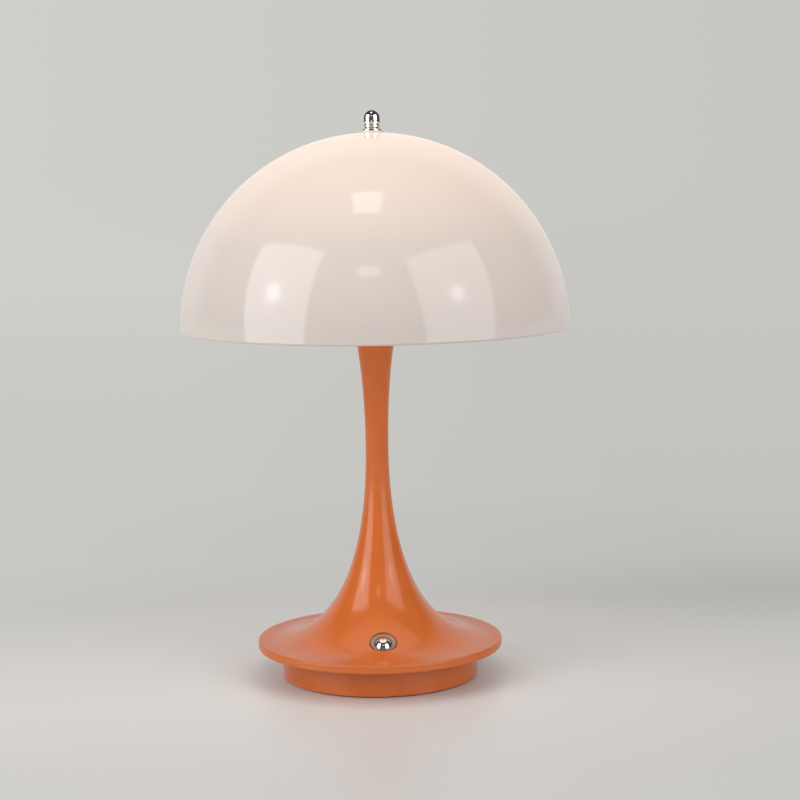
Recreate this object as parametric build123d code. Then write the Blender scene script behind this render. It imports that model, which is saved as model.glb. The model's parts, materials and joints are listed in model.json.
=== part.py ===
from build123d import *
import math
import os

# A cordless table lamp, in millimetres: a half-round opal shade on a post that rises from
# the cup of a trumpet-shaped body, whose base disc stands on a drum foot.
# The lamp's axis is Z, the table is at height 0, the push button faces -Y and the
# charging port faces +Y.

# Clearances
slip = 0.3              # between rigid pieces that drop into each other
snug = 0.1              # radial, for a piece that slides or lies in its seat
thread_gap = 0.05       # radial, between a plain shank and the hole it is screwed into
through_gap = 0.4       # radial, round a screw or rod that passes through

# Shade
shade_radius = 105.0
shade_wall = 2.4
shade_rim_height = 190.85
shade_rim_round = 1.1
shade_seat_radius = 9.5
shade_seat_thickness = 2.8

# Drum foot
drum_lift = 0.5
drum_radius = 53.4
drum_height = 15.7
drum_wall = 1.8
drum_edge_round = 0.6
ledge_height = 3.5
ledge_width = 2.8
ledge_thickness = 1.4

# Body: base disc, stem and cup
disc_radius = 66.9
disc_thickness = 4.6
disc_round = 1.0
flat_rim_width = 4.9
body_wall = 2.0
waist_radius = 6.25
lower_stem_height = 104.2
upper_stem_height = 101.0
lower_flare_reach = 47.5    # how far the curve runs level from the rim
lower_flare_rise = 40.0     # how far it runs upright below the waist
upper_flare_rise = 39.5     # how far it runs upright above the waist
cup_flare_reach = 25.5      # how far it runs straight to the cup
cup_slope = 51.7            # degrees, of that straight run
cup_radius = 26.0
cup_collar_height = 6.0
cup_lip_round = 0.8
spigot_height = 3.0
spigot_wall = 1.7

# Bottom cover and foot pad
cover_thickness = 2.5
cover_screw_spacing_x = 48.0
cover_screw_spacing_y = 56.0
cover_screw_radius = 1.5
cover_screw_length = 12.0
cover_screw_head_radius = 2.75
cover_screw_head_height = 1.8
cover_screw_floor = 3.0
screw_post_wall = 2.6
screw_post_height = 2.5
screw_tip_room = 1.0
boss_wall = 2.1
pad_radius = 49.0
pad_width = 8.0
pad_thickness = 1.6
pad_groove_depth = 0.6
pad_edge_round = 0.3

# Cell and its clamp
cell_radius = 9.2
cell_length = 65.0
cell_tip_radius = 3.0
cell_tip_length = 1.0
cell_edge_round = 0.8
cell_offset = -6.0
cell_lift = 0.9
saddle_spacing = 40.0
saddle_thickness = 4.0
saddle_wall = 3.0
clamp_wall = 1.8
clamp_width = 10.0
clamp_foot_thickness = 2.0
clamp_post_radius = 3.0
clamp_screw_radius = 1.2
clamp_screw_length = 7.0
clamp_screw_head_radius = 2.3
clamp_screw_head_height = 1.6

# Main board and charging port
port_height = 8.6
port_setback = 1.2
port_window_width = 12.9
port_window_height = 6.9
usb_width = 8.94
usb_height = 3.26
usb_length = 7.35
usb_wall = 0.3
usb_tongue_width = 6.7
usb_tongue_thickness = 0.7
usb_block_length = 2.0
usb_tongue_setback = 0.7
board_width = 24.0
board_thickness = 1.2
board_gap = 2.8
board_overhang = 1.9
board_post_radius = 2.2
board_screw_radius = 0.9
board_screw_length = 4.6
board_screw_head_radius = 1.9
board_screw_head_height = 1.2
board_screw_inset = 2.7
board_front_screw = 10.0
board_back_screw = 6.0
header_width = 7.0
header_depth = 4.0
header_height = 4.0
header_pitch = 8.0
coil_radius = 2.6
coil_height = 3.0
chip_width = 5.0
chip_depth = 4.0
chip_height = 1.4
component_offset = 5.5

# Push button
button_distance = 40.0
button_recess_radius = 7.4
button_recess_depth = 1.0
button_boss_radius = 9.5
button_boss_depth = 3.6
housing_flange_radius = 7.2
housing_flange_thickness = 0.9
housing_dish_depth = 0.6
housing_tube_radius = 5.6
housing_length = 9.0
housing_lip_depth = 2.2
cap_radius = 4.35
cap_dome_height = 2.3
cap_edge_depth = 0.5
cap_flange_width = 0.4
cap_flange_thickness = 1.0
plunger_radius = 1.5
plunger_length = 3.1
button_travel = 0.8
insert_length = 4.0
terminal_radius = 0.5
terminal_length = 3.0
terminal_spacing = 3.0
nut_thickness = 2.0
nut_radius = 7.6

# Lamp cup: carrier plate, light board, diffuser
cup_cavity_radius = 18.5
plate_depth = 4.5
plate_thickness = 2.0
plate_screw_circle = 21.2
plate_screw_radius = 1.0
plate_screw_length = 5.6
plate_screw_head_radius = 2.0
plate_screw_head_height = 1.1
cup_screw_count = 3
led_board_radius = 18.5
led_board_thickness = 1.2
led_screw_circle = 10.5
led_screw_radius = 0.9
led_screw_length = 2.8
led_screw_head_radius = 1.8
led_screw_head_height = 1.0
chip_count = 12
chip_circle_radius = 15.5
chip_size = 2.8
chip_thickness = 0.7
diffuser_wall = 1.5
diffuser_height = 5.5
diffuser_round = 1.4
collar_ring_radius = 6.5
collar_ring_height = 3.0

# Shade post and its nut
post_radius = 4.0
post_foot_radius = 5.5
post_foot_height = 2.5
post_tail_radius = 3.0
post_tail_length = 9.0
post_nut_width = 10.0
post_nut_thickness = 4.0
post_seat_radius = 8.0
post_seat_thickness = 1.5
post_thread_radius = 2.5    # of the thread's crests, which every hole for it clears
post_thread_core = 2.0      # the rod is left at this radius, without the thread itself
post_thread_length = 11.2
seat_washer_thickness = 1.0

# Finial and its washer
finial_washer_radius = 6.2
finial_washer_thickness = 1.2
finial_foot_radius = 5.5
finial_foot_band = 0.6
finial_foot_height = 1.75
finial_neck_radius = 4.2
finial_bead_radius = 4.75
finial_bead_height = 1.4
finial_groove_height = 0.3
finial_ring_radius = 5.15
finial_ring_height = 1.7
finial_ball_radius = 4.7
finial_ball_straight = 1.3
finial_hole_depth = 8.0
finial_insert_radius = 3.25
finial_insert_length = 7.5

# Wires
wire_radius = 0.6
cell_lead_length = 4.5       # how far a lead stands off the cell's end before it turns
board_lead_clearance = 5.0  # from the lead's long run to the board's front edge
pad_inset = 4.0             # from the board's front edge to a soldering pad
header_rise = 2.0           # of a battery lead over the headers before it drops to its pad
switch_lead_straight = 2.5
switch_lead_bow = 4.0       # of the switch leads over the clamp
switch_lead_drop = 6.0
cable_radius = 1.5
cable_offset = 9.5
cable_rise = 12.0           # straight up out of the header
cable_bend_height = 37.0    # where the cable leans towards the stem
cable_stem_height = 57.0    # where it is in the middle of the stem
cable_top_run = 14.0        # straight up to the carrier plate
cable_top_bend = 26.0       # below the plate, where it leaves the middle of the stem

# Heights that follow
disc_low = drum_lift + drum_height
disc_high = disc_low + disc_thickness
waist_height = disc_high + lower_stem_height
flare_height = waist_height + upper_stem_height
cup_height = flare_height + cup_collar_height
plate_low = cup_height - plate_depth
plate_high = plate_low + plate_thickness
led_board_high = plate_high + led_board_thickness
diffuser_high = plate_high + diffuser_height
drum_inner = drum_radius - drum_wall
cover_high = ledge_height
cover_low = cover_high - cover_thickness
boss_low = cover_high + screw_post_height
cell_height = cover_high + cell_lift + cell_radius
clamp_foot_low = cell_height - clamp_foot_thickness
board_high = port_height - usb_height / 2
board_low = board_high - board_thickness
header_high = board_high + header_height
shade_top = shade_rim_height + math.sqrt(shade_radius**2 - finial_washer_radius**2)
shade_seat_low = shade_top - shade_seat_thickness
seat_washer_low = shade_seat_low - seat_washer_thickness
post_seat_low = seat_washer_low - post_seat_thickness
finial_low = shade_top + finial_washer_thickness

# Places that follow
port_mouth = drum_inner - port_setback
clamp_post_offset = cell_radius + snug + clamp_wall + clamp_post_radius
board_front = cell_offset + clamp_post_offset + clamp_post_radius + board_gap
board_back = port_mouth - board_overhang
board_screw_x = board_width / 2 - board_screw_inset
switch_header_y = board_front + header_depth
cable_header_y = switch_header_y + header_pitch
component_y = cable_header_y + header_pitch
boss_radius = cover_screw_radius + boss_wall

ON_BASE = (Align.CENTER, Align.CENTER, Align.MIN)


# Simple shapes

def disc(radius, low, high):
    return Pos(0, 0, low) * Cylinder(radius, high - low, align=ON_BASE)


def ring(outer, inner, low, high):
    return disc(outer, low, high) - disc(inner, low, high)


def block(width, depth, low, high):
    return Pos(0, 0, low) * Box(width, depth, high - low, align=ON_BASE)


def slab(radius, low, high):
    """A flat rectangle that reaches from the axis out to a radius."""
    return Pos(0, low) * Rectangle(radius, high - low, align=(Align.MIN, Align.MIN))


def turned(outline):
    """Spin a flat outline, drawn as radius and height, about the lamp's axis."""
    return revolve(Plane.XZ * outline, Axis.Z)


def at_each(places, shape):
    """One copy of the shape at each place, as a group of separate solids."""
    return Compound(children=[place * shape for place in places])


def rounded(outline, radius, amount):
    """Round the outline's corners that lie at a radius."""
    corners = outline.vertices().filter_by_position(Axis.X, radius - 0.01, radius + 0.01)
    return fillet(corners, amount)


def screw(radius, length, head_radius, head_height):
    """A screw with a low domed head above height 0 and its shank below."""
    head = slab(head_radius, 0, head_height)
    head = rounded(head, head_radius, head_height / 2)
    return turned(head) + disc(radius, -length, 0)


def stadium_along_y(width, height, front, back, z):
    """A bar with round sides that runs along Y."""
    face = Pos(0, front, z) * (Plane.XZ * SlotOverall(width, height))
    return extrude(face, amount=front - back)


def widest_bends(points):
    """The widest arc that each corner's two runs leave room for."""
    bends = []
    for before, corner, after in zip(points, points[1:], points[2:]):
        arriving = corner - before
        leaving = after - corner
        half_turn = math.radians(arriving.get_angle(leaving)) / 2
        bends.append(0.45 * min(arriving.length, leaving.length) / math.tan(half_turn))
    return bends


def wire(points, radius):
    """A round wire along straight runs that are joined by wide arcs."""
    points = [Vector(*point) for point in points]
    path = FilletPolyline(*points, radius=widest_bends(points))
    return sweep((path ^ 0) * Circle(radius), path=path)


# Body

def lower_flare():
    """Control points of the curve from the flat rim of the disc up to the waist."""
    rim = disc_radius - flat_rim_width
    return [
        Vector(rim, disc_high),
        Vector(rim - lower_flare_reach, disc_high),
        Vector(waist_radius, waist_height - lower_flare_rise),
        Vector(waist_radius, waist_height),
    ]


def upper_flare():
    """Control points of the curve from the waist up to the foot of the cup's collar."""
    slope = math.radians(cup_slope)
    run = Vector(math.cos(slope), math.sin(slope)) * cup_flare_reach
    collar_foot = Vector(cup_radius, flare_height)
    return [
        Vector(waist_radius, waist_height),
        Vector(waist_radius, waist_height + upper_flare_rise),
        collar_foot - run,
        collar_foot,
    ]


def moved_left(points, distance):
    """Control points of the curve that runs a distance to the left of the given one."""
    legs = [(after - before).normalized() for before, after in zip(points, points[1:])]
    normals = [Vector(-leg.Y, leg.X) for leg in legs]
    moved = [points[0] + normals[0] * distance]
    for point, before, after in zip(points[1:], normals, normals[1:]):
        moved.append(point + (before + after) * (distance / (1 + before.dot(after))))
    moved.append(points[-1] + normals[-1] * distance)
    return moved


def body_outline():
    """The body's outer outline, filled to the axis."""
    lower = lower_flare()
    upper = upper_flare()
    outline = make_face([
        Polyline((0, disc_low), (disc_radius, disc_low), (disc_radius, disc_high), lower[0]),
        Bezier(*lower),
        Bezier(*upper),
        Polyline(upper[-1], (cup_radius, cup_height), (0, cup_height), (0, disc_low)),
    ])
    outline = rounded(outline, disc_radius, disc_round)
    lip = outline.vertices().group_by(Axis.Y)[-1].sort_by(Axis.X)[-1]
    return fillet(lip, cup_lip_round)


def hollow_outline():
    """The hollow inside the body: base, stem bore, cup cavity and plate seat."""
    lower = moved_left(lower_flare(), body_wall)
    upper = moved_left(upper_flare(), body_wall)
    inside = make_face([
        Bezier(*lower),
        Bezier(*upper),
        Polyline(upper[-1], (0, upper[-1].Y), (0, lower[0].Y), lower[0]),
    ])
    hollow_radius = drum_inner - slip - spigot_wall
    inside &= slab(hollow_radius, disc_low, waist_height) + slab(cup_cavity_radius, waist_height, plate_low)
    inside += slab(hollow_radius, disc_low - spigot_height, disc_high - body_wall)
    inside += slab(cup_cavity_radius, flare_height, plate_low)
    return inside + slab(cup_radius - body_wall, plate_low, cup_height)


def cover_screw_places():
    return list(GridLocations(cover_screw_spacing_x, cover_screw_spacing_y, 2, 2))


def cup_screw_places(circle, first_angle):
    return list(PolarLocations(circle, cup_screw_count, start_angle=first_angle))


def button_plane():
    """The plane on the front slope that the push button is square to, facing out."""
    flare = Bezier(*lower_flare()).edge()
    place = flare.find_intersection_points(Axis((button_distance, 0), (0, 1)))[0]
    along = flare.tangent_at(flare.param_at_point(place))
    return Plane(origin=(0, -place.X, place.Y), x_dir=(1, 0, 0), z_dir=(0, -along.Y, -along.X))


def trumpet_body():
    """The cast shell, with its spigot, screw bosses and the seat of the push button."""
    outside = button_recess_radius
    bosses = at_each(cover_screw_places(), disc(boss_radius, boss_low, waist_height))
    button_boss = button_plane() * disc(button_boss_radius, -button_boss_depth, outside)
    hollow = turned(hollow_outline()) - bosses - button_boss

    spigot_outer = drum_inner - slip
    spigot = ring(spigot_outer, spigot_outer - spigot_wall, disc_low - spigot_height, disc_low)
    boss_stubs = at_each(cover_screw_places(), disc(boss_radius, boss_low, disc_low))
    body = turned(body_outline()) + spigot + boss_stubs - hollow

    tip = boss_low - cover_screw_floor + cover_screw_length
    cover_holes = disc(cover_screw_radius + thread_gap, boss_low, tip + screw_tip_room)
    body -= at_each(cover_screw_places(), cover_holes)

    plate_hole = disc(plate_screw_radius + thread_gap, plate_high - plate_screw_length - slip, plate_low)
    body -= at_each(cup_screw_places(plate_screw_circle, 0), plate_hole)

    recess = disc(button_recess_radius, -button_recess_depth, outside)
    bore = disc(housing_tube_radius + snug, -button_boss_depth, outside)
    return body - button_plane() * (recess + bore)


# Base

def drum_foot():
    """The painted ring under the disc, with the ledge that the cover pulls up."""
    outline = Pos(drum_inner, drum_lift) * Rectangle(drum_wall, drum_height, align=(Align.MIN, Align.MIN))
    corner = outline.vertices().group_by(Axis.Y)[0].sort_by(Axis.X)[-1]
    outline = fillet(corner, drum_edge_round)
    ledge = Pos(drum_inner - ledge_width, ledge_height) * Rectangle(
        ledge_width, ledge_thickness, align=(Align.MIN, Align.MIN))
    window = stadium_along_y(
        port_window_width, port_window_height, port_mouth, drum_radius + drum_wall, port_height)
    return turned(outline + ledge) - window


def foot_pad():
    low = cover_low + pad_groove_depth - pad_thickness
    outline = Pos(pad_radius - pad_width, low) * Rectangle(
        pad_width, pad_thickness, align=(Align.MIN, Align.MIN))
    return turned(fillet(outline.vertices().group_by(Axis.Y)[0], pad_edge_round))


def cell_solid(extra):
    """The space of the cell along X, grown by an amount all round."""
    length = cell_length + 2 * extra
    lying = Rot(0, 90, 0) * Cylinder(cell_radius + extra, length)
    return Pos(0, cell_offset, cell_height) * lying


def clamp_places():
    return [Pos(0, cell_offset - clamp_post_offset), Pos(0, cell_offset + clamp_post_offset)]


def board_screw_places():
    rows = (board_front + board_front_screw, board_back - board_back_screw)
    return [Pos(side * board_screw_x, row) for side in (-1, 1) for row in rows]


def bottom_cover():
    """The moulded cover, with saddles for the cell and posts for boards and screws."""
    cover = disc(drum_inner - slip, cover_low, cover_high)
    cover -= ring(pad_radius + snug, pad_radius - pad_width - snug, cover_low, cover_low + pad_groove_depth)

    screw_post = disc(cover_screw_radius + screw_post_wall, cover_high, boss_low)
    cover += [place * screw_post for place in cover_screw_places()]
    cover += [place * disc(clamp_post_radius, cover_high, clamp_foot_low) for place in clamp_places()]
    cover += [place * disc(board_post_radius, cover_high, board_low) for place in board_screw_places()]
    for side in (-1, 1):
        rib = block(saddle_thickness, 2 * (cell_radius + saddle_wall), cover_high, cell_height)
        cover += Pos(side * saddle_spacing / 2, cell_offset) * rib
    cover -= cell_solid(snug)

    head_seat = boss_low - cover_screw_floor
    hole = disc(cover_screw_radius + through_gap, cover_low, boss_low)
    hole += disc(cover_screw_head_radius + through_gap, cover_low, head_seat)
    cover -= [place * hole for place in cover_screw_places()]
    clamp_tip = cell_height - clamp_screw_length - screw_tip_room
    clamp_hole = disc(clamp_screw_radius + thread_gap, clamp_tip, clamp_foot_low)
    cover -= [place * clamp_hole for place in clamp_places()]
    board_hole = disc(board_screw_radius + thread_gap, board_high - board_screw_length - slip, board_low)
    return cover - [place * board_hole for place in board_screw_places()]


def cover_screws():
    """Four screws, head down in the cover and tips up in the body's bosses."""
    upward = Pos(0, 0, boss_low - cover_screw_floor) * Rot(180, 0, 0) * screw(
        cover_screw_radius, cover_screw_length, cover_screw_head_radius, cover_screw_head_height)
    return at_each(cover_screw_places(), upward)


def battery_cell():
    half = cell_length / 2
    outline = slab(cell_radius, -half, half - cell_tip_length)
    outline = rounded(outline, cell_radius, cell_edge_round)
    outline += slab(cell_tip_radius, half - cell_tip_length, half)
    return Pos(0, cell_offset, cell_height) * Rot(0, 90, 0) * turned(outline)


def battery_clamp():
    """An arch over the cell that stands on the two clamp posts."""
    inner = cell_radius + snug
    outer = inner + clamp_wall
    arch = Rot(0, 90, 0) * (Cylinder(outer, clamp_width) - Cylinder(inner, clamp_width))
    arch &= block(clamp_width, 2 * outer, 0, outer)
    reach = clamp_post_offset + clamp_post_radius
    for side in (-1, 1):
        foot = block(clamp_width, reach - inner, -clamp_foot_thickness, 0)
        arch += Pos(0, side * (reach + inner) / 2) * foot
    arch = Pos(0, cell_offset, cell_height) * arch
    hole = disc(clamp_screw_radius + through_gap, clamp_foot_low, cell_height)
    return arch - [place * hole for place in clamp_places()]


def clamp_screws():
    one = Pos(0, 0, cell_height) * screw(
        clamp_screw_radius, clamp_screw_length, clamp_screw_head_radius, clamp_screw_head_height)
    return at_each(clamp_places(), one)


# Main board and charging port

def main_board():
    depth = board_back - board_front
    board = Pos(0, board_front + depth / 2) * block(board_width, depth, board_low, board_high)
    hole = disc(board_screw_radius + through_gap, board_low, board_high)
    return board - [place * hole for place in board_screw_places()]


def board_screws():
    one = Pos(0, 0, board_high) * screw(
        board_screw_radius, board_screw_length, board_screw_head_radius, board_screw_head_height)
    return at_each(board_screw_places(), one)


def board_parts():
    """Two wire headers, a coil and a chip, side by side on the board."""
    header = block(header_width, header_depth, board_high, header_high)
    coil = disc(coil_radius, board_high, board_high + coil_height)
    chip = block(chip_width, chip_depth, board_high, board_high + chip_height)
    return Compound(children=[
        Pos(0, switch_header_y) * header,
        Pos(0, cable_header_y) * header,
        Pos(-component_offset, component_y) * coil,
        Pos(component_offset, component_y) * chip,
    ])


def usb_shell():
    back = port_mouth - usb_length
    shell = stadium_along_y(usb_width, usb_height, back, port_mouth, port_height)
    hollow = stadium_along_y(
        usb_width - 2 * usb_wall, usb_height - 2 * usb_wall, back + usb_wall, port_mouth, port_height)
    return shell - hollow


def usb_tongue():
    """The contact tongue and the block that fills the back of the shell."""
    back = port_mouth - usb_length + usb_wall
    block_front = back + usb_block_length
    filling = stadium_along_y(
        usb_width - 2 * usb_wall, usb_height - 2 * usb_wall, back, block_front, port_height)
    length = port_mouth - usb_tongue_setback - block_front
    tongue = Pos(0, block_front + length / 2, port_height) * Box(
        usb_tongue_width, length, usb_tongue_thickness)
    return filling + tongue


# Push button, each piece drawn along its own axis with the slope's surface at height 0

def housing_top():
    return -button_recess_depth + housing_flange_thickness


def cap_flange_high():
    return -housing_lip_depth


def button_housing():
    """The dished ring with its tube, whose upper lip holds the cap back."""
    tube_low = -housing_length
    body = disc(housing_flange_radius, -button_recess_depth, housing_top())
    body += disc(housing_tube_radius, tube_low, -button_recess_depth)
    bore = cap_radius + snug
    dish = Pos(0, 0, housing_top() - housing_dish_depth) * Cone(
        bore, housing_flange_radius, housing_dish_depth, align=ON_BASE)
    wide_bore = cap_radius + cap_flange_width + snug
    body -= dish
    body -= disc(bore, tube_low, housing_top())
    body -= disc(wide_bore, tube_low, cap_flange_high())
    return button_plane() * body


def button_cap():
    """The domed cap, with the flange that meets the housing's lip."""
    edge = -cap_edge_depth
    top = edge + cap_dome_height
    low = cap_flange_high() - cap_flange_thickness
    ball_radius = (cap_radius**2 + cap_dome_height**2) / (2 * cap_dome_height)
    half_way = math.asin(cap_radius / ball_radius) / 2
    shoulder = (ball_radius * math.sin(half_way), top - ball_radius * (1 - math.cos(half_way)))
    outline = make_face([
        ThreePointArc((cap_radius, edge), shoulder, (0, top)),
        Polyline((0, top), (0, low), (cap_radius, low), (cap_radius, edge)),
    ])
    outline += slab(cap_radius + cap_flange_width, low, cap_flange_high())
    return button_plane() * turned(outline)


def plunger_high():
    return cap_flange_high() - cap_flange_thickness


def insert_high():
    return plunger_high() - button_travel - slip


def switch_plunger():
    return button_plane() * disc(plunger_radius, plunger_high() - plunger_length, plunger_high())


def terminal_places():
    return [Pos(-terminal_spacing / 2, 0), Pos(terminal_spacing / 2, 0)]


def switch_insert():
    """The contact block in the housing's tube, bored for the plunger."""
    low = insert_high() - insert_length
    body = disc(cap_radius + cap_flange_width, low, insert_high())
    plunger_end = plunger_high() - plunger_length - button_travel - slip
    body -= disc(plunger_radius + snug, plunger_end, insert_high())
    body += [place * disc(terminal_radius, low - terminal_length, low) for place in terminal_places()]
    return button_plane() * body


def button_nut():
    flats = 2 * nut_radius * math.cos(math.pi / 6)
    nut = extrude(RegularPolygon(flats / 2, 6, major_radius=False), amount=nut_thickness)
    nut = Pos(0, 0, -button_boss_depth - nut_thickness) * nut
    hole = disc(housing_tube_radius + thread_gap, -housing_length, 0)
    return button_plane() * (nut - hole)


# Lamp cup

def led_plate():
    """The carrier plate on the cup's inner ledge."""
    plate = disc(cup_radius - body_wall - slip, plate_low, plate_high)
    plate -= disc(post_tail_radius + snug, plate_low, plate_high)
    plate -= Pos(cable_offset, 0) * disc(cable_radius + through_gap, plate_low, plate_high)
    board_hole = disc(led_screw_radius + thread_gap, plate_low, plate_high)
    plate -= [place * board_hole for place in led_screw_places()]
    sink = Pos(0, 0, plate_high - plate_screw_head_height) * Cone(
        plate_screw_radius + snug, plate_screw_head_radius + snug, plate_screw_head_height, align=ON_BASE)
    seat = sink + disc(plate_screw_radius + snug, plate_low, plate_high)
    return plate - [place * seat for place in cup_screw_places(plate_screw_circle, 0)]


def led_screw_places():
    return cup_screw_places(led_screw_circle, 180 / cup_screw_count)


def plate_screws():
    """Flush screws that hold the plate down on the ledge."""
    head = Pos(0, 0, plate_high - plate_screw_head_height) * Cone(
        plate_screw_radius, plate_screw_head_radius, plate_screw_head_height, align=ON_BASE)
    shank = disc(plate_screw_radius, plate_high - plate_screw_length, plate_high - plate_screw_head_height)
    return at_each(cup_screw_places(plate_screw_circle, 0), head + shank)


def led_board():
    board = ring(led_board_radius, post_foot_radius + through_gap, plate_high, led_board_high)
    hole = disc(led_screw_radius + through_gap, plate_high, led_board_high)
    return board - [place * hole for place in led_screw_places()]


def led_screws():
    one = Pos(0, 0, led_board_high) * screw(
        led_screw_radius, led_screw_length, led_screw_head_radius, led_screw_head_height)
    return at_each(led_screw_places(), one)


def led_chips():
    chip = block(chip_size, chip_size, led_board_high, led_board_high + chip_thickness)
    return at_each(list(PolarLocations(chip_circle_radius, chip_count)), chip)


def led_diffuser():
    """A frosted cap whose skirt stands on the carrier plate."""
    outer = cup_radius - body_wall - slip
    outline = slab(outer, plate_high, diffuser_high)
    outline = fillet(outline.vertices().group_by(Axis.Y)[-1].sort_by(Axis.X)[-1], diffuser_round)
    outline -= slab(outer - diffuser_wall, plate_high, diffuser_high - diffuser_wall)
    outline -= slab(post_radius + slip, plate_high, diffuser_high)
    return turned(outline)


def diffuser_collar():
    outline = slab(collar_ring_radius, diffuser_high, diffuser_high + collar_ring_height)
    outline = rounded(outline, collar_ring_radius, diffuser_round / 2)
    outline -= slab(post_radius + thread_gap, diffuser_high, diffuser_high + collar_ring_height)
    return turned(outline)


# Shade, post and finial

def shade_post():
    """One turned rod: tail through the plate, foot, rod, seat for the shade and thread."""
    tail = disc(post_tail_radius, plate_high - post_tail_length, plate_high)
    foot = disc(post_foot_radius, plate_high, plate_high + post_foot_height)
    rod = disc(post_radius, plate_high + post_foot_height, post_seat_low)
    seat = disc(post_seat_radius, post_seat_low, seat_washer_low)
    thread = disc(post_thread_core, seat_washer_low, seat_washer_low + post_thread_length)
    return tail + foot + rod + seat + thread


def post_nut():
    nut = extrude(RegularPolygon(post_nut_width / 2, 6, major_radius=False), amount=post_nut_thickness)
    nut = Pos(0, 0, plate_low - post_nut_thickness) * nut
    return nut - disc(post_tail_radius + thread_gap, plate_low - post_nut_thickness, plate_low)


def seat_washer():
    hole = post_thread_radius + snug
    return ring(post_seat_radius, hole, seat_washer_low, shade_seat_low)


def shade():
    """The half sphere, thickened to a flat seat round its centre hole."""
    hole = post_thread_radius + through_gap
    flat = shade_top - shade_rim_height
    ball = Circle(shade_radius)
    outline = ball - Circle(shade_radius - shade_wall)
    outline += slab(shade_seat_radius, flat - shade_seat_thickness, flat) & ball
    outline &= slab(shade_radius, 0, flat)
    outline -= slab(hole, 0, flat)
    outline = fillet(outline.vertices().group_by(Axis.Y)[0], shade_rim_round)
    return turned(Pos(0, shade_rim_height) * outline)


def finial_washer():
    hole = post_thread_radius + through_gap
    return ring(finial_washer_radius, hole, shade_top, finial_low)


def finial_outline():
    """Foot with a cove, bead, ring and round-topped ball."""
    bead_low = finial_low + finial_foot_height
    bead_high = bead_low + finial_bead_height
    ring_low = bead_high + finial_groove_height
    ring_high = ring_low + finial_ring_height
    ball_height = ring_high + finial_ball_straight
    ball_top = ball_height + finial_ball_radius
    slant = finial_ball_radius * math.sqrt(0.5)
    neck = finial_neck_radius
    foot = (finial_foot_radius, finial_low + finial_foot_band)
    return make_face([
        Polyline((0, finial_low), (finial_foot_radius, finial_low), foot),
        TangentArc(foot, (neck, bead_low), tangent=(-1, 0.2)),
        ThreePointArc((neck, bead_low), (finial_bead_radius, (bead_low + bead_high) / 2), (neck, bead_high)),
        Line((neck, bead_high), (neck, ring_low)),
        ThreePointArc((neck, ring_low), (finial_ring_radius, (ring_low + ring_high) / 2), (neck, ring_high)),
        Polyline((neck, ring_high), (finial_ball_radius, ring_high), (finial_ball_radius, ball_height)),
        ThreePointArc((finial_ball_radius, ball_height), (slant, ball_height + slant), (0, ball_top)),
        Line((0, ball_top), (0, finial_low)),
    ])


def finial():
    hole = slab(finial_insert_radius + thread_gap, finial_low, finial_low + finial_hole_depth)
    return turned(finial_outline() - hole)


def finial_insert():
    """The tapped bush inside the finial, which runs on the post's thread."""
    bore = post_thread_radius + thread_gap
    return ring(finial_insert_radius, bore, finial_low, finial_low + finial_insert_length)


# Wires

def led_cable():
    """From the board's header up the middle of the stem and through the carrier plate."""
    return wire([
        (0, cable_header_y, header_high),
        (0, cable_header_y, header_high + cable_rise),
        (0, cable_header_y / 3, cable_bend_height),
        (0, 0, cable_stem_height),
        (0, 0, plate_low - cable_top_bend),
        (cable_offset, 0, plate_high - cable_top_run),
        (cable_offset, 0, plate_high),
    ], cable_radius)


def battery_lead(side):
    """From one end of the cell round to its pad at the front corner of the board."""
    cell_end = side * cell_length / 2
    turn = side * (cell_length / 2 + cell_lead_length)
    pad = side * board_screw_x
    return wire([
        (cell_end, cell_offset, cell_height),
        (turn, cell_offset, cell_height),
        (turn, board_front - board_lead_clearance, cell_height),
        (pad, board_front + pad_inset, header_high + header_rise),
        (pad, board_front + pad_inset, board_high),
    ], wire_radius)


def switch_lead(side):
    """From one terminal over the clamp and down to the board's front header."""
    plane = button_plane()
    x = side * terminal_spacing / 2
    tip = insert_high() - insert_length - terminal_length
    cell_top = cell_height + cell_radius
    over_clamp = cell_top + clamp_wall + switch_lead_bow
    return wire([
        plane.from_local_coords(Vector(x, 0, tip)),
        plane.from_local_coords(Vector(x, 0, tip - switch_lead_straight)),
        (x, cell_offset - clamp_post_offset - switch_lead_bow, cell_top),
        (x, cell_offset - switch_lead_bow, over_clamp),
        (x, cell_offset + cell_radius, over_clamp),
        (x, switch_header_y, header_high + switch_lead_drop),
        (x, switch_header_y, header_high),
    ], wire_radius)


def switch_leads():
    return Compound(children=[switch_lead(-1), switch_lead(1)])


nodes = {
    "shade": shade(),
    "finial": finial(),
    "finial_insert": finial_insert(),
    "finial_washer": finial_washer(),
    "seat_washer": seat_washer(),
    "shade_post": shade_post(),
    "post_nut": post_nut(),
    "diffuser_collar": diffuser_collar(),
    "led_diffuser": led_diffuser(),
    "led_board": led_board(),
    "led_chips": led_chips(),
    "led_screws": led_screws(),
    "led_plate": led_plate(),
    "plate_screws": plate_screws(),
    "led_cable": led_cable(),
    "trumpet_body": trumpet_body(),
    "button_cap": button_cap(),
    "switch_plunger": switch_plunger(),
    "button_housing": button_housing(),
    "switch_insert": switch_insert(),
    "button_nut": button_nut(),
    "switch_leads": switch_leads(),
    "drum_foot": drum_foot(),
    "bottom_cover": bottom_cover(),
    "cover_screws": cover_screws(),
    "foot_pad": foot_pad(),
    "battery_cell": battery_cell(),
    "battery_clamp": battery_clamp(),
    "clamp_screws": clamp_screws(),
    "battery_lead_positive": battery_lead(1),
    "battery_lead_negative": battery_lead(-1),
    "main_board": main_board(),
    "board_screws": board_screws(),
    "board_parts": board_parts(),
    "usb_shell": usb_shell(),
    "usb_tongue": usb_tongue(),
}

os.makedirs("parts", exist_ok=True)
for name, shape in nodes.items():
    export_step(shape, "parts/" + name + ".step")
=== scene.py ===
import json
import math

import bmesh
import bpy
from mathutils import Matrix, Vector


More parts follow.
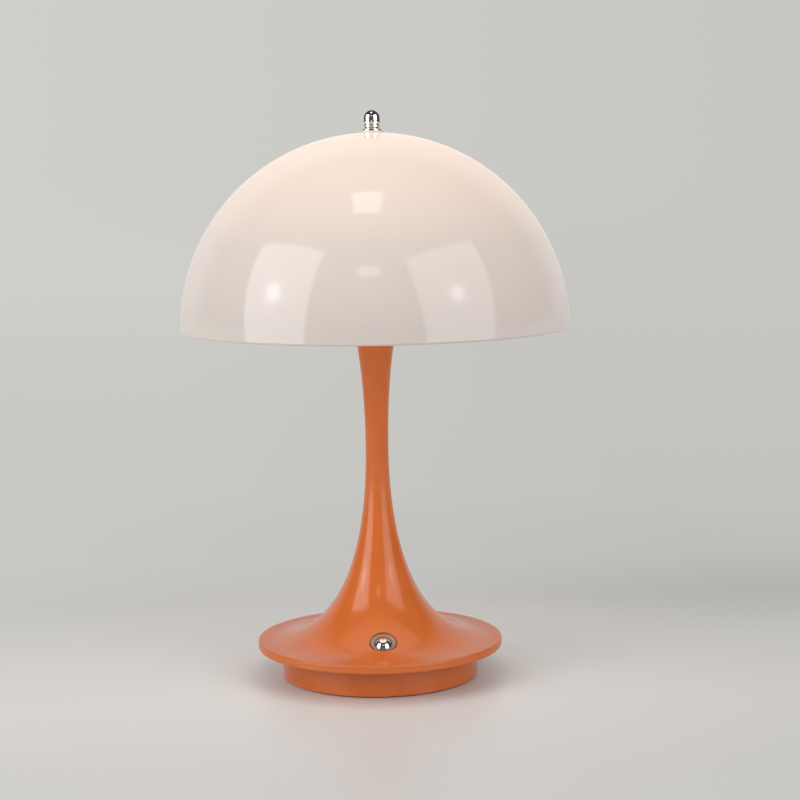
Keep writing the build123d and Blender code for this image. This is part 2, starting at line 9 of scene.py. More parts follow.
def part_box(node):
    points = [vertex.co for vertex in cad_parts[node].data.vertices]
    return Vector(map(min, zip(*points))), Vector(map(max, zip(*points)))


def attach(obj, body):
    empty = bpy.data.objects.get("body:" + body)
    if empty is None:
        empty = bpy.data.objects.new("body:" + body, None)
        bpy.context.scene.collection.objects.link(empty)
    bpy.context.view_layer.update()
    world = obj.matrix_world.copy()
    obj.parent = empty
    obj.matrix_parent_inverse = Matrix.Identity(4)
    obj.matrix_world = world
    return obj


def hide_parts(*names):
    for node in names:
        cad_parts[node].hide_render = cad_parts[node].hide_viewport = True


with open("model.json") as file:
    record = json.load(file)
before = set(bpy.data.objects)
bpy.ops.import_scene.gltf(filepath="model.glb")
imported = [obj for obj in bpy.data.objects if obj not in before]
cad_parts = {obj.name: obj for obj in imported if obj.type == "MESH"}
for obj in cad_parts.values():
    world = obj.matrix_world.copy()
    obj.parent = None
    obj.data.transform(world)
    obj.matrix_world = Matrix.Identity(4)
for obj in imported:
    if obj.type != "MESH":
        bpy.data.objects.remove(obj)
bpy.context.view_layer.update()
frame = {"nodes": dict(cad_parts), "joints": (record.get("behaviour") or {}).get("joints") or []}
nodes = frame["nodes"]

# Lengths are in metres, and colours are linear.

# Camera, fitted to the photograph: pitch and roll are in degrees, lens and sensor in millimetres
CAMERA_PLACE = (0.0129, -1.0759, 0.2826)
CAMERA_PITCH = 6.951
CAMERA_ROLL = 0.864
CAMERA_LENS = 89.75
SENSOR_WIDTH = 36

# Turn of the camera and lights about the lamp's axis, which puts the button where the picture has it
STUDIO_TURN = Matrix.Rotation(math.radians(-3.0), 4, "Z")

# Clouds that vary every finish a little, and the part of their range over which the colour changes
CLOUD_DETAIL = 3.0
CLOUD_ROUGHNESS = 0.55
CLOUD_RANGE = (0.35, 0.65)

# How many times finer than the clouds of the colour those of the gloss and of the relief are
GLOSS_FINENESS = 1.7
RELIEF_FINENESS = 4

# Shade: the heights of its rim and top, and its colour and glow from the rim (0) to the top (1)
SHADE_RIM_HEIGHT = 0.1909
SHADE_TOP_HEIGHT = 0.2959
SHADE_TONES = ((0.0, (0.50, 0.458, 0.428)), (1.0, (0.53, 0.475, 0.435)))
SHADE_GLOW = (
    (0.0, (0.09, 0.082, 0.072)),
    (0.45, (0.17, 0.137, 0.113)),
    (0.75, (0.34, 0.24, 0.18)),
    (1.0, (0.47, 0.34, 0.24)),
)

# Paint: its roughness, the radii on the base between which it loses gloss, and how much rougher it gets
PAINT_ROUGHNESS = (0.14, 0.18)
DULLED_EDGE = (0.052, 0.063)
DULLED_BY = 0.14

# Button's ring: its outer radius, its turned grooves and its tone from the middle (0) to the edge (1)
RING_RADIUS = 0.0072
GROOVE_PITCH = 0.00045
GROOVE_DEPTH = 0.000008
# The ring's tone is painted: shade round the cap and at the rim, and a brownish orange reflection of the
# body between
RING_PAINTED_SHADE_AND_REFLECTION = (
    (0.0, (0.06, 0.045, 0.04)),
    (0.60, (0.07, 0.05, 0.045)),
    (0.68, (0.34, 0.24, 0.21)),
    (0.90, (0.42, 0.30, 0.26)),
    (0.97, (0.12, 0.06, 0.04)),
)

# Cap over the light chips: its radius and its glow from the middle to the edge, brightest over the chips
CAP_RADIUS = 0.0237
CAP_GLOW = (
    (0.25, (0.13, 0.10, 0.07)),
    (0.65, (0.30, 0.24, 0.17)),
    (0.95, (0.10, 0.08, 0.055)),
)

# Thread on the tip of the post: the steps in each turn, and the turns over which each end runs out
THREAD_PITCH = 0.0008
THREAD_CREST = 0.00248
THREAD_CORE = 0.002
THREAD_STEPS = 32
THREAD_RUNOUT = 0.5

# The thread's ridge, in shares of the pitch: half the width of its foot and top, and how deep it is sunk
RIDGE_FOOT = 0.42
RIDGE_TOP = 0.08
RIDGE_SINK = 0.05

# Contacts of the charging port, a row on each face of its tongue
CONTACT_COUNT = 12
CONTACT_PITCH = 0.0005
CONTACT_WIDTH = 0.00026
CONTACT_LENGTH = 0.0032
CONTACT_SETBACK = 0.0005
CONTACT_RISE = 0.00003
TONGUE_THICKNESS = 0.0007

# Cross recess of a screw's head, in shares of the head's radius
RECESS_REACH = 0.56
RECESS_WIDTH = 0.15
RECESS_DEPTH = 0.42
RECESS_TAPER = 0.7
SCREW_NODES = ("cover_screws", "plate_screws", "led_screws", "clamp_screws", "board_screws")

# Share of its radius beyond which a screw's points belong to its head
HEAD_RIM = 0.9

# Distance under which two points of a mesh are one
SAME_POINT = 1e-7

# Angle above which an edge of a new piece is sharp
SHARP_ANGLE = math.radians(30)

# Paper on the floor and the backdrop behind it: their colours, and half the length of the paper's sides
FLOOR = (0.66, 0.645, 0.620)
BACKDROP = (0.60, 0.595, 0.568)
FLOOR_HALF = 20

# Distances from the lamp between which the paper turns into an even tone that no light changes
FLOOR_FADE_START = 0.16
FLOOR_FADE_END = 0.60

# Painted shade on the paper: its tone from its near end (0) to its far end (1), at its left and right
# sides
PAPER_DEPTHS = (-0.3, 3.7)
PAPER_SIDES = (-0.20, 0.25)
# The right side is darker, and so is a band across the paper near the lamp, both painted shade
PAPER_SHADE_LEFT = (
    (0.03, 0.94), (0.06, 1.02), (0.093, 1.0), (0.12, 0.96),
    (0.152, 1.0), (0.214, 0.98), (0.385, 0.985), (0.9, 1.04),
)
PAPER_SHADE_RIGHT = (
    (0.03, 0.90), (0.06, 0.95), (0.093, 0.94), (0.12, 0.78),
    (0.152, 0.89), (0.214, 0.91), (0.385, 0.93), (0.9, 0.955),
)

# Tone of the backdrop by direction, from left to right, darker to the right as painted shade, and the
# distances where the paper turns to it
BACKDROP_SIDES = (-0.14, 0.24)
BACKDROP_SHADE_TONES = (1.04, 0.955)
BACKDROP_START = 4.0
BACKDROP_END = 10.0

# Light that the lamp throws on the paper round its foot, from its axis (0) to the reach (1)
POOL_REACH = 0.2
POOL_TONES = ((0.30, 1.0), (0.385, 1.10), (0.46, 1.05), (0.62, 1.0))

# A ramp holds no tone above 1, so the pool's tones are divided by this and the paper's colour is raised
POOL_SCALE = 2

# Tone of the studio in the gloss of the lamp, from the camera's side (0) to the backdrop (1)
STUDIO_TONES = ((0.0, 0.10), (0.15, 0.05), (0.72, 0.05), (0.87, 0.66))

# Even light from the studio's pale walls
ROOM_LIGHT = (0.52, 0.52, 0.53)

# The lamp's own light, a soft disc across the mouth of its shade
GLOW_COLOUR = (1.0, 0.91, 0.80)
GLOW_BRIGHTNESS = 0.60
GLOW_RADIUS = 0.098

# Middle of the shade, which the light panels are aimed at
AIM = Vector((0, 0, 0.19))

# Share of a light panel's size over which its edge fades
PANEL_EDGE = 0.05

# Short names for the sockets of a material's shader
SOCKETS = {
    "colour": "Base Color",
    "metallic": "Metallic",
    "roughness": "Roughness",
    "ior": "IOR",
    "specular": "Specular IOR Level",
    "transmission": "Transmission Weight",
    "subsurface": "Subsurface Weight",
    "subsurface_scale": "Subsurface Scale",
    "glow": "Emission Color",
    "glow_strength": "Emission Strength",
}


# Shader nodes
class Nodes:
    """The node tree of a material, a light or the world, with short ways to add to it."""

    def __init__(self, owner):
        owner.use_nodes = True
        self.tree = owner.node_tree

    def fill(self, socket, value):
        """Sets a socket to a number, a vector or a colour, or links it to another node's output."""
        if isinstance(value, bpy.types.NodeSocket):
            self.tree.links.new(value, socket)
        else:
            socket.default_value = (*value, 1) if socket.type == "RGBA" else value

    def node(self, kind, inputs=None, **settings):
        """Adds a node with its settings and its inputs."""
        made = self.tree.nodes.new(kind)
        for key, value in settings.items():
            setattr(made, key, value)
        for key, value in (inputs or {}).items():
            self.fill(made.inputs[key], value)
        return made

    def show(self, shader, output):
        """Makes a shader the one that the tree's output shows."""
        self.tree.links.new(shader.outputs[0], self.tree.nodes[output].inputs["Surface"])

    def place(self):
        """The point's own coordinates, in metres of the shared frame."""
        return self.node("ShaderNodeTexCoord").outputs["Object"]

    def split(self, vector):
        """The X, Y and Z of a vector."""
        return self.node("ShaderNodeSeparateXYZ", {0: vector}).outputs

    def radius(self):
        """The point's distance from the lamp's axis."""
        return self.vector("LENGTH", self.vector("MULTIPLY", self.place(), (1, 1, 0)))

    def vector(self, kind, first, second=(0, 0, 0)):
        """The result of a step of vector arithmetic."""
        made = self.node("ShaderNodeVectorMath", {0: first, 1: second}, operation=kind)
        return made.outputs["Value" if kind == "LENGTH" else "Vector"]

    def number(self, kind, *values):
        """The result of a step of arithmetic."""
        return self.node("ShaderNodeMath", dict(enumerate(values)), operation=kind).outputs[0]

    def between(self, value, low, high, first=0.0, last=1.0, how="LINEAR"):
        """The value's place between two limits, as a number from first to last."""
        limits = {"Value": value, "From Min": low, "From Max": high, "To Min": first, "To Max": last}
        return self.node("ShaderNodeMapRange", limits, interpolation_type=how).outputs["Result"]

    def ramp(self, value, *stops):
        """Colour by a value from 0 to 1; each stop is a place and a colour or a grey tone."""
        made = self.node("ShaderNodeValToRGB", {"Fac": value})
        elements = made.color_ramp.elements
        while len(elements) < len(stops):
            elements.new(0.5)
        for element, (place, colour) in zip(elements, stops):
            element.position = place
            element.color = (*colour, 1) if isinstance(colour, tuple) else (colour, colour, colour, 1)
        return made.outputs["Color"]

    def noise(self, scale):
        """Cloudy values from 0 to 1, about 1/scale metres across."""
        made = self.node("ShaderNodeTexNoise", {"Vector": self.place(), "Scale": scale})
        self.fill(made.inputs["Detail"], CLOUD_DETAIL)
        self.fill(made.inputs["Roughness"], CLOUD_ROUGHNESS)
        return made.outputs["Fac"]

    def mix(self, share, first, second, how="MIX"):
        """Mixes two colours, the second by a share from 0 to 1."""
        parts = {"Fac": share, "Color1": first, "Color2": second}
        return self.node("ShaderNodeMixRGB", parts, blend_type=how).outputs["Color"]

    def times(self, value, factor):
        """The product of a colour with another colour."""
        return self.mix(1.0, value, factor, "MULTIPLY")

    def blend(self, share, first, second):
        """Mixes two shaders, the second by a share from 0 to 1."""
        return self.node("ShaderNodeMixShader", {0: share, 1: first.outputs[0], 2: second.outputs[0]})


class Finish(Nodes):
    """A new material, with short names for its shader's sockets."""

    def __init__(self, name, **values):
        self.material = bpy.data.materials.new(name)
        super().__init__(self.material)
        self.shader = self.tree.nodes["Principled BSDF"]
        for key, value in values.items():
            self.set(key, value)

    def set(self, key, value):
        """Sets one of the shader's sockets, or links it to another node's output."""
        self.fill(self.shader.inputs[SOCKETS[key]], value)

    def vary_colour(self, scale, dark, light):
        """Lets the colour vary in clouds."""
        low, high = CLOUD_RANGE
        self.set("colour", self.ramp(self.noise(scale), (low, dark), (high, light)))

    def vary_gloss(self, scale, low, high):
        """Lets the roughness vary in clouds."""
        self.set("roughness", self.between(self.noise(scale), 0.0, 1.0, low, high))

    def bump(self, height, depth):
        """Gives the surface relief, its depth in metres."""
        made = self.node("ShaderNodeBump", {"Height": height, "Distance": depth, "Strength": 1.0})
        self.tree.links.new(made.outputs["Normal"], self.shader.inputs["Normal"])


# Materials
def mottled(name, dark, light, scale, roughness, depth=0, **values):
    """A finish whose colour and gloss vary a little from place to place, with or without fine relief."""
    finish = Finish(name, **values)
    finish.vary_colour(scale, dark, light)
    finish.vary_gloss(scale * GLOSS_FINENESS, *roughness)
    if depth:
        finish.bump(finish.noise(scale * RELIEF_FINENESS), depth)
    return finish


def opal_acrylic():
    """Glossy opal plastic, lit from inside and warmest at the top."""
    finish = Finish("opal_acrylic", ior=1.49, subsurface=0.25, subsurface_scale=0.006, glow_strength=1.0)
    height = finish.between(finish.split(finish.place())["Z"], SHADE_RIM_HEIGHT, SHADE_TOP_HEIGHT)
    finish.set("colour", finish.ramp(height, *SHADE_TONES))
    finish.set("glow", finish.ramp(height, *SHADE_GLOW))
    finish.vary_gloss(scale=60, low=0.05, high=0.09)
    return finish


def orange_paint():
    """Satin gloss enamel, which handling has dulled a little round the edge of the disc."""
    finish = Finish("orange_paint", ior=1.48)
    finish.vary_colour(scale=60, dark=(0.535, 0.122, 0.023), light=(0.565, 0.132, 0.027))
    fresh = finish.between(finish.noise(scale=100), 0.0, 1.0, *PAINT_ROUGHNESS)
    dulled = finish.between(finish.radius(), *DULLED_EDGE, 0.0, DULLED_BY)
    finish.set("roughness", finish.number("ADD", fresh, dulled))
    return finish


def chrome():
    return mottled(
        "chrome", dark=(0.86, 0.85, 0.84), light=(0.93, 0.92, 0.91), scale=300,
        roughness=(0.03, 0.07), metallic=1.0,
    )


def satin_metal():
    """Dished ring of turned metal, whose fine grooves run round the button's axis; its colour holds
    painted shade and a painted reflection.
    """
    finish = Finish("satin_metal", metallic=1.0)
    press = next(joint for joint in frame["joints"] if joint["name"] == "button_press")
    axis = Vector(press["axis"]).normalized()
    low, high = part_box("button_cap")
    offset = finish.vector("SUBTRACT", finish.place(), (low + high) / 2)
    radius = finish.vector("LENGTH", finish.vector("CROSS_PRODUCT", offset, axis))
    # Colour by radius: painted shade round the cap and at the rim, and a painted reflection of the
    # orange body between
    finish.set("colour", finish.ramp(finish.between(radius, 0.0, RING_RADIUS), *RING_PAINTED_SHADE_AND_REFLECTION))
    finish.vary_gloss(scale=700, low=0.2, high=0.3)
    turns = finish.number("MULTIPLY", radius, 2 * math.pi / GROOVE_PITCH)
    finish.bump(finish.number("SINE", turns), GROOVE_DEPTH)
    return finish


def clear_plastic():
    return mottled(
        "clear_plastic", dark=(0.80, 0.78, 0.74), light=(0.88, 0.86, 0.83), scale=400,
        roughness=(0.10, 0.16), ior=1.49, transmission=0.35,
    )


def zinc_steel():
    return mottled(
        "zinc_steel", dark=(0.50, 0.50, 0.48), light=(0.66, 0.66, 0.63), scale=700,
        roughness=(0.24, 0.36), metallic=1.0,
    )


def aluminium():
    return mottled(
        "aluminium", dark=(0.62, 0.62, 0.62), light=(0.74, 0.74, 0.74), scale=600,
        roughness=(0.28, 0.40), metallic=1.0,
    )


def soft_silicone():
    return mottled(
        "soft_silicone", dark=(0.62, 0.60, 0.57), light=(0.72, 0.70, 0.67), scale=500,
        roughness=(0.5, 0.6), subsurface=0.2,
    )


def pad_rubber():
    return mottled(
        "pad_rubber", dark=(0.020, 0.020, 0.021), light=(0.036, 0.036, 0.037), scale=900,
        roughness=(0.7, 0.85), depth=0.00003,
    )


def black_plastic():
    return mottled(
        "black_plastic", dark=(0.018, 0.018, 0.019), light=(0.030, 0.030, 0.031), scale=1500,
        roughness=(0.42, 0.56), depth=0.00002,
    )


def white_plastic():
    return mottled(
        "white_plastic", dark=(0.70, 0.69, 0.66), light=(0.78, 0.77, 0.75), scale=800,
        roughness=(0.35, 0.5), depth=0.00001,
    )


def frosted_plastic():
    """Frosted cap, lit from below by the ring of light chips."""
    finish = mottled(
        "frosted_plastic", dark=(0.46, 0.44, 0.41), light=(0.52, 0.50, 0.47), scale=500,
        roughness=(0.45, 0.6), depth=0.00001, glow_strength=1.0,
    )
    finish.set("glow", finish.ramp(finish.between(finish.radius(), 0.0, CAP_RADIUS), *CAP_GLOW))
    return finish


def board_white():
    return mottled(
        "board_white", dark=(0.74, 0.74, 0.72), light=(0.80, 0.80, 0.78), scale=900,
        roughness=(0.35, 0.45),
    )


def board_green():
    return mottled(
        "board_green", dark=(0.012, 0.085, 0.030), light=(0.022, 0.115, 0.045), scale=700,
        roughness=(0.28, 0.4),
    )


def chip_phosphor():
    return mottled(
        "chip_phosphor", dark=(0.80, 0.58, 0.16), light=(0.88, 0.66, 0.22), scale=2000,
        roughness=(0.4, 0.5), glow=(1.0, 0.72, 0.42), glow_strength=2.0,
    )


def cell_wrap():
    return mottled(
        "cell_wrap", dark=(0.030, 0.070, 0.200), light=(0.045, 0.095, 0.250), scale=300,
        roughness=(0.25, 0.35),
    )


def wire_red():
    return mottled(
        "wire_red", dark=(0.42, 0.020, 0.015), light=(0.52, 0.030, 0.022), scale=900,
        roughness=(0.4, 0.5),
    )


def wire_black():
    return mottled(
        "wire_black", dark=(0.016, 0.016, 0.017), light=(0.028, 0.028, 0.029), scale=900,
        roughness=(0.4, 0.5),
    )


def cable_grey():
    return mottled(
        "cable_grey", dark=(0.20, 0.20, 0.20), light=(0.27, 0.27, 0.27), scale=900,
        roughness=(0.5, 0.6),
    )


def contact_plating():
    return mottled(
        "contact_plating", dark=(0.72, 0.50, 0.20), light=(0.80, 0.58, 0.26), scale=900,
        roughness=(0.2, 0.3), metallic=1.0,
    )


FINISHES = {
    "opal_acrylic": opal_acrylic,
    "orange_paint": orange_paint,
    "chrome": chrome,
    "satin_metal": satin_metal,
    "clear_plastic": clear_plastic,
    "zinc_steel": zinc_steel,
    "aluminium": aluminium,
    "soft_silicone": soft_silicone,
    "pad_rubber": pad_rubber,
    "black_plastic": black_plastic,
    "white_plastic": white_plastic,
    "frosted_plastic": frosted_plastic,
    "board_white": board_white,
    "board_green": board_green,
    "chip_phosphor": chip_phosphor,
    "cell_wrap": cell_wrap,
    "wire_red": wire_red,
    "wire_black": wire_black,
    "cable_grey": cable_grey,
}


def dress_nodes():
    """Gives every CAD node the finish of its material slot."""
    made = {slot: make().material for slot, make in FINISHES.items()}
    for node in nodes.values():
        for place in node.material_slots:
            place.material = made[place.material.name.split(".")[0]]


# Small pieces
def finished(name, shape):
    """The mesh of a closed shape, with its faces turned outwards and shaded smooth."""
    bmesh.ops.recalc_face_normals(shape, faces=shape.faces)
    for face in shape.faces:
        face.smooth = True
    mesh = bpy.data.meshes.new(name)
    shape.to_mesh(mesh)
    shape.free()
    return mesh


def added(name, mesh, node, body="base", finish=None):
    """A new piece from a mesh, which rides on a body and takes a CAD node's finish or its own."""
    mesh.set_sharp_from_angle(angle=SHARP_ANGLE)
    shown = nodes[node].material_slots[0].material
    mesh.materials.clear()
    mesh.materials.append(finish.material if finish else shown)
    made = bpy.data.objects.new(name, mesh)
    bpy.context.scene.collection.objects.link(made)
    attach(made, body)
    shown.name.split(".")[0]
    return made


def band(shape, first, second):
    """Joins two rings of points with a band of faces."""
    for i in range(len(first)):
        j = (i + 1) % len(first)
        shape.faces.new((first[i], first[j], second[j], second[i]))


def post_thread():
    """The rolled thread on the post's tip, a ridge that winds up its core and runs out at both ends."""
    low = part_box("seat_washer")[0].z + THREAD_PITCH / 2
    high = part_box("shade_post")[1].z - THREAD_PITCH / 2
    steps = round((high - low) / THREAD_PITCH * THREAD_STEPS)
    runout = THREAD_RUNOUT * THREAD_STEPS
    shape = bmesh.new()
    rings = []
    for step in range(steps + 1):
        angle = 2 * math.pi * step / THREAD_STEPS
        height = low + THREAD_PITCH * step / THREAD_STEPS
        fade = min(1.0, step / runout, (steps - step) / runout)
        foot = THREAD_CORE - RIDGE_SINK * THREAD_PITCH
        top = THREAD_CORE + fade * (THREAD_CREST - THREAD_CORE)
        profile = ((foot, -RIDGE_FOOT), (top, -RIDGE_TOP), (top, RIDGE_TOP), (foot, RIDGE_FOOT))
        across = Vector((math.cos(angle), math.sin(angle), 0))
        rings.append([
            shape.verts.new(across * radius + Vector((0, 0, height + share * THREAD_PITCH)))
            for radius, share in profile
        ])
    for first, second in zip(rings, rings[1:]):
        band(shape, first, second)
    shape.faces.new(rings[0])
    shape.faces.new(rings[-1])
    added("post_thread", finished("post_thread", shape), "shade_post")


def port_contacts():
    """Plated strips on both faces of the port's tongue, each with a sloped nose."""
    low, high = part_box("usb_tongue")
    middle = (low.z + high.z) / 2
    front = high.y - CONTACT_SETBACK
    half = CONTACT_WIDTH / 2
    shape = bmesh.new()
    for side in (-1, 1):
        foot = middle + side * (TONGUE_THICKNESS / 2 - CONTACT_RISE)
        top = middle + side * (TONGUE_THICKNESS / 2 + CONTACT_RISE)
        outline = (
            (front, foot),
            (front - 2 * CONTACT_RISE, top),
            (front - CONTACT_LENGTH, top),
            (front - CONTACT_LENGTH, foot),
        )
        for i in range(CONTACT_COUNT):
            x = (i - (CONTACT_COUNT - 1) / 2) * CONTACT_PITCH
            left = [shape.verts.new((x - half, y, z)) for y, z in outline]
            right = [shape.verts.new((x + half, y, z)) for y, z in outline]
            shape.faces.new(left)
            shape.faces.new(right)
            band(shape, left, right)
    added("port_contacts", finished("port_contacts", shape), "usb_shell", finish=contact_plating())


def islands(shape):
    """The separate bodies of a mesh, each as a list of its points."""
    left = set(shape.verts)
    while left:
        group, queue = [], [left.pop()]
        while queue:
            point = queue.pop()
            group.append(point)
            linked = {edge.other_vert(point) for edge in point.link_edges} & left
            left -= linked
            queue.extend(linked)
        yield group


def screw_head(screw):
    """The middle and radius of the face of a screw's head, and 1 if it looks up or -1 if down."""
    places = [point.co for point in screw]
    low = Vector(min(place[axis] for place in places) for axis in range(3))
    high = Vector(max(place[axis] for place in places) for axis in range(3))
    middle = (low + high) / 2
    radius = (high.x - low.x) / 2
    rim = [place.z for place in places if (place - middle).xy.length > HEAD_RIM * radius]
    upward = sum(rim) / len(rim) > middle.z
    face = Vector((middle.x, middle.y, high.z if upward else low.z))
    return face, radius, 1 if upward else -1


def cross(shape, centre, radius, outwards):
    """Adds the tapered cross that a driver's tip fills, sunk into a head's face at a centre."""
    reach, half, depth = RECESS_REACH * radius, RECESS_WIDTH * radius, RECESS_DEPTH * radius
    arm = ((reach, -half), (reach, half), (half, half))
    rings = []
    for level, scale in ((depth, 1.0), (-depth, RECESS_TAPER)):
        ring = []
        for quarter in range(4):
            turn = Matrix.Rotation(math.pi / 2 * quarter, 3, "Z")
            for x, y in arm:
                offset = Vector((x * scale, y * scale, level * outwards))
                ring.append(shape.verts.new(centre + turn @ offset))
        rings.append(ring)
    band(shape, *rings)
    for ring in rings:
        shape.faces.new(ring)


def cut_away(made, tool):
    """Cuts the mesh of a closed tool out of an object."""
    cutter = bpy.data.objects.new("cutter", tool)
    bpy.context.scene.collection.objects.link(cutter)
    cut = made.modifiers.new("recess", "BOOLEAN")
    cut.operation = "DIFFERENCE"
    cut.object = cutter
    bpy.context.view_layer.update()
    result = made.evaluated_get(bpy.context.evaluated_depsgraph_get())
    mesh = bpy.data.meshes.new_from_object(result)
    made.modifiers.clear()
    made.data = mesh
    bpy.data.objects.remove(cutter)


def recessed_screws(node):
    """The node's screws, each with a cross recess cut into its head."""
    shape = bmesh.new()
    shape.from_mesh(nodes[node].data)
    bmesh.ops.remove_doubles(shape, verts=shape.verts, dist=SAME_POINT)
    tool = bmesh.new()
    for screw in islands(shape):
        cross(tool, *screw_head(screw))
    name = "recessed_" + node
    made = added(name, finished(name, shape), node)
    cut_away(made, finished("cutter", tool))
    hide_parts(node)


def small_pieces():
    """The fine detail that the solids leave to the scene."""
    post_thread()
    port_contacts()
    for node in SCREW_NODES:
        recessed_screws(node)


# Surroundings
def floor_finish():
    """Pale paper with painted shade and a painted pool of lamp light, fading into the backdrop's tone;
    unseen from below.
    """
    finish = Finish("floor", roughness=0.38, specular=0.5)
    place = finish.split(finish.place())
    depth = finish.between(place["Y"], *PAPER_DEPTHS)
    side = finish.between(place["X"], *PAPER_SIDES)
    # Painted shade on the paper, by its depth and side
    paper = finish.mix(side, finish.ramp(depth, *PAPER_SHADE_LEFT), finish.ramp(depth, *PAPER_SHADE_RIGHT))
    towards = finish.split(finish.vector("NORMALIZE", finish.place()))
    # Painted shade: the far paper darkens towards the right, like the backdrop
    plain = finish.between(towards["X"], *BACKDROP_SIDES, *BACKDROP_SHADE_TONES)
    reach = finish.vector("LENGTH", finish.place())
    tone = finish.mix(finish.between(reach, BACKDROP_START, BACKDROP_END), paper, plain)
    pool_stops = ((stop, value / POOL_SCALE) for stop, value in POOL_TONES)
    pool = finish.ramp(finish.between(reach, 0.0, POOL_REACH), *pool_stops)
    colour = tuple(POOL_SCALE * value for value in FLOOR)
    finish.set("colour", finish.times(finish.times(tone, pool), colour))
    even = finish.node("ShaderNodeEmission", {"Color": finish.times(tone, BACKDROP)})
    above = finish.blend(finish.between(reach, FLOOR_FADE_START, FLOOR_FADE_END), finish.shader, even)
    below = finish.node("ShaderNodeBsdfTransparent")
    back = finish.node("ShaderNodeNewGeometry").outputs["Backfacing"]
    finish.show(finish.blend(back, above, below), "Material Output")
    return finish


def floor():
    """The paper that the lamp stands on."""
    half = FLOOR_HALF
    corners = [(-half, -half, 0), (half, -half, 0), (half, half, 0), (-half, half, 0)]
    mesh = bpy.data.meshes.new("floor")
    mesh.from_pydata(corners, [], [(0, 1, 2, 3)])
    made = bpy.data.objects.new("floor", mesh)
    made.data.materials.append(floor_finish().material)
    bpy.context.scene.collection.objects.link(made)


def surroundings():
    """A dim studio with a pale backdrop behind the lamp, plain where seen directly but for painted shade
    to the right.
    """
    world = bpy.data.worlds.new("studio")
    bpy.context.scene.world = world
    studio = Nodes(world)
    towards = studio.split(studio.node("ShaderNodeTexCoord").outputs["Generated"])
    reflected = studio.tree.nodes["Background"]
    tone = studio.ramp(studio.between(towards["Y"], -1, 1), *STUDIO_TONES)
    studio.fill(reflected.inputs["Color"], tone)
    room = studio.node("ShaderNodeBackground", {"Color": ROOM_LIGHT})
    # Painted shade: the backdrop darkens towards the right
    side = studio.between(towards["X"], *BACKDROP_SIDES, *BACKDROP_SHADE_TONES)
    backdrop = studio.node("ShaderNodeBackground", {"Color": BACKDROP, "Strength": side})
    path = studio.node("ShaderNodeLightPath").outputs
    lit = studio.blend(path["Is Diffuse Ray"], reflected, room)
    studio.show(studio.blend(path["Is Camera Ray"], lit, backdrop), "World Output")


def direction(azimuth, elevation):
    """Unit vector towards a light; azimuth 0 is the camera's side and 90 the right."""
    turn, rise = math.radians(azimuth), math.radians(elevation)
    level = math.cos(rise)
    return Vector((math.sin(turn) * level, -math.cos(turn) * level, math.sin(rise)))


def facing(towards, up):
    """Rotation whose Z axis points back along a direction and whose Y axis leans to up."""
    across = up.cross(towards).normalized()
    return Matrix((across, towards.cross(across), towards)).transposed().to_4x4()


def power(brightness, area):
    """The power that gives a flat light of some area its brightness."""
    return brightness * math.pi * area


def diffused(light, core):
    """Makes a panel fade softly at its edge and glow in its middle, where its lamp is."""
    panel_nodes = Nodes(light)
    middle = (0.5, 0.5, 0)
    share = panel_nodes.node("ShaderNodeNewGeometry").outputs["Parametric"]
    centred = panel_nodes.vector("SUBTRACT", share, middle)
    place = panel_nodes.vector("MULTIPLY", centred, (light.size, light.size_y, 0))
    offsets = panel_nodes.split(place)
    edges = []
    for axis, size in (("X", light.size), ("Y", light.size_y)):
        offset = panel_nodes.number("ABSOLUTE", offsets[axis])
        inner = size / 2 - PANEL_EDGE * size
        edges.append(panel_nodes.between(offset, size / 2, inner, how="SMOOTHSTEP"))
    strength = panel_nodes.number("MULTIPLY", *edges)
    reach = panel_nodes.vector("LENGTH", place)
    for radius, amount in core:
        glow = panel_nodes.between(reach, radius, 0, 0, amount, how="SMOOTHERSTEP")
        strength = panel_nodes.number("MULTIPLY_ADD", glow, strength, strength)
    panel_nodes.fill(panel_nodes.tree.nodes["Emission"].inputs["Strength"], strength)


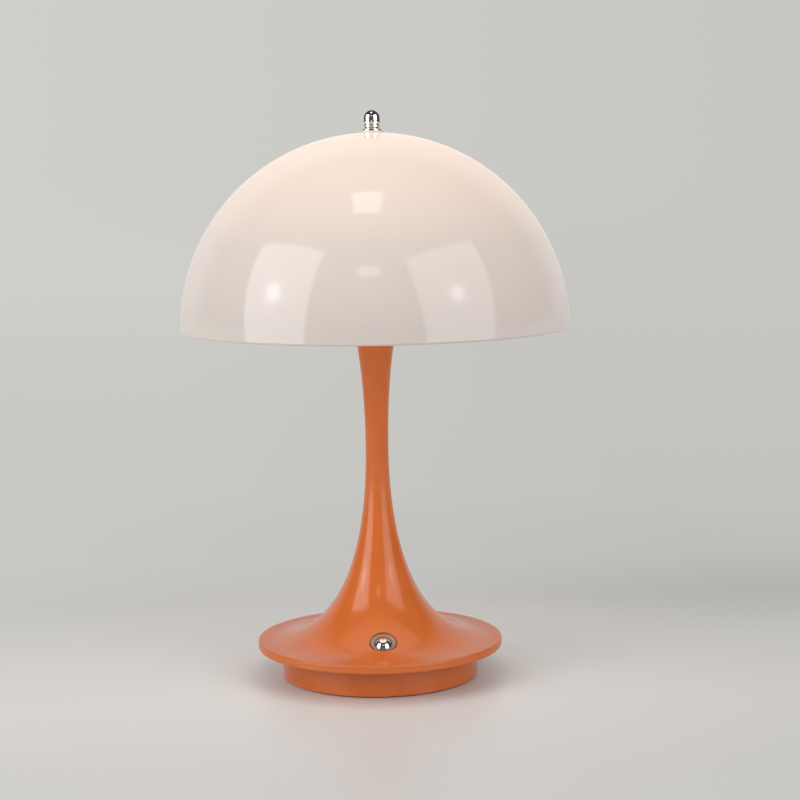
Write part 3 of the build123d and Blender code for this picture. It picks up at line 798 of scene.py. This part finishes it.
def panel(name, azimuth, elevation, distance, size, brightness, core=(), turn=0, up=(0, 0, 1)):
    """A soft light that is aimed at the shade and turned a little from there.

    The core has the radius and the strength of each glow in its middle.
    """
    light = bpy.data.lights.new(name, "AREA")
    light.shape = "RECTANGLE"
    light.size, light.size_y = size
    light.energy = power(brightness, size[0] * size[1])
    diffused(light, core)
    made = bpy.data.objects.new(name, light)
    place = AIM + direction(azimuth, elevation) * distance
    aimed = Matrix.Translation(place) @ facing(direction(azimuth + turn, elevation), Vector(up))
    made.matrix_world = STUDIO_TURN @ aimed
    bpy.context.scene.collection.objects.link(made)


def lamp_glow():
    """The light that the shade throws down, which rises with the shade and isn't seen itself."""
    light = bpy.data.lights.new("lamp_glow", "AREA")
    light.shape = "DISK"
    light.size = 2 * GLOW_RADIUS
    light.color = GLOW_COLOUR
    light.energy = power(GLOW_BRIGHTNESS, math.pi * GLOW_RADIUS ** 2)
    made = bpy.data.objects.new("lamp_glow", light)
    made.location = (0, 0, SHADE_RIM_HEIGHT)
    made.visible_camera = False
    bpy.context.scene.collection.objects.link(made)
    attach(made, "shade_lifted")


def lights():
    """Two soft boxes at the sides, small panels above and in front, and the lamp's own light."""
    panel(
        "box_left", azimuth=-61, elevation=20, distance=1.3, size=(1.04, 1.25), brightness=2.85,
        core=((0.45, 0.25), (0.19, 1.3)), turn=15,
    )
    panel(
        "box_right", azimuth=50, elevation=20, distance=1.3, size=(1.12, 1.25), brightness=1.95,
        core=((0.45, 0.2), (0.17, 1.7)),
    )
    panel(
        "panel_top", azimuth=-12, elevation=79, distance=1.5, size=(0.36, 0.42), brightness=2.7,
        up=(0, 1, 0),
    )
    panel("panel_front", azimuth=-3, elevation=36, distance=1.6, size=(0.34, 0.17), brightness=2.4)
    lamp_glow()


def camera():
    """The camera of the photograph."""
    data = bpy.data.cameras.new("camera")
    data.lens = CAMERA_LENS
    data.sensor_width = SENSOR_WIDTH
    made = bpy.data.objects.new("camera", data)
    tilt = Matrix.Rotation(math.radians(90 - CAMERA_PITCH), 4, "X")
    roll = Matrix.Rotation(math.radians(-CAMERA_ROLL), 4, "Z")
    made.matrix_world = STUDIO_TURN @ Matrix.Translation(CAMERA_PLACE) @ tilt @ roll
    bpy.context.scene.collection.objects.link(made)
    bpy.context.scene.camera = made


dress_nodes()
small_pieces()
floor()
surroundings()
lights()
camera()
bpy.context.scene.view_settings.view_transform = "Standard"

bpy.context.view_layer.update()
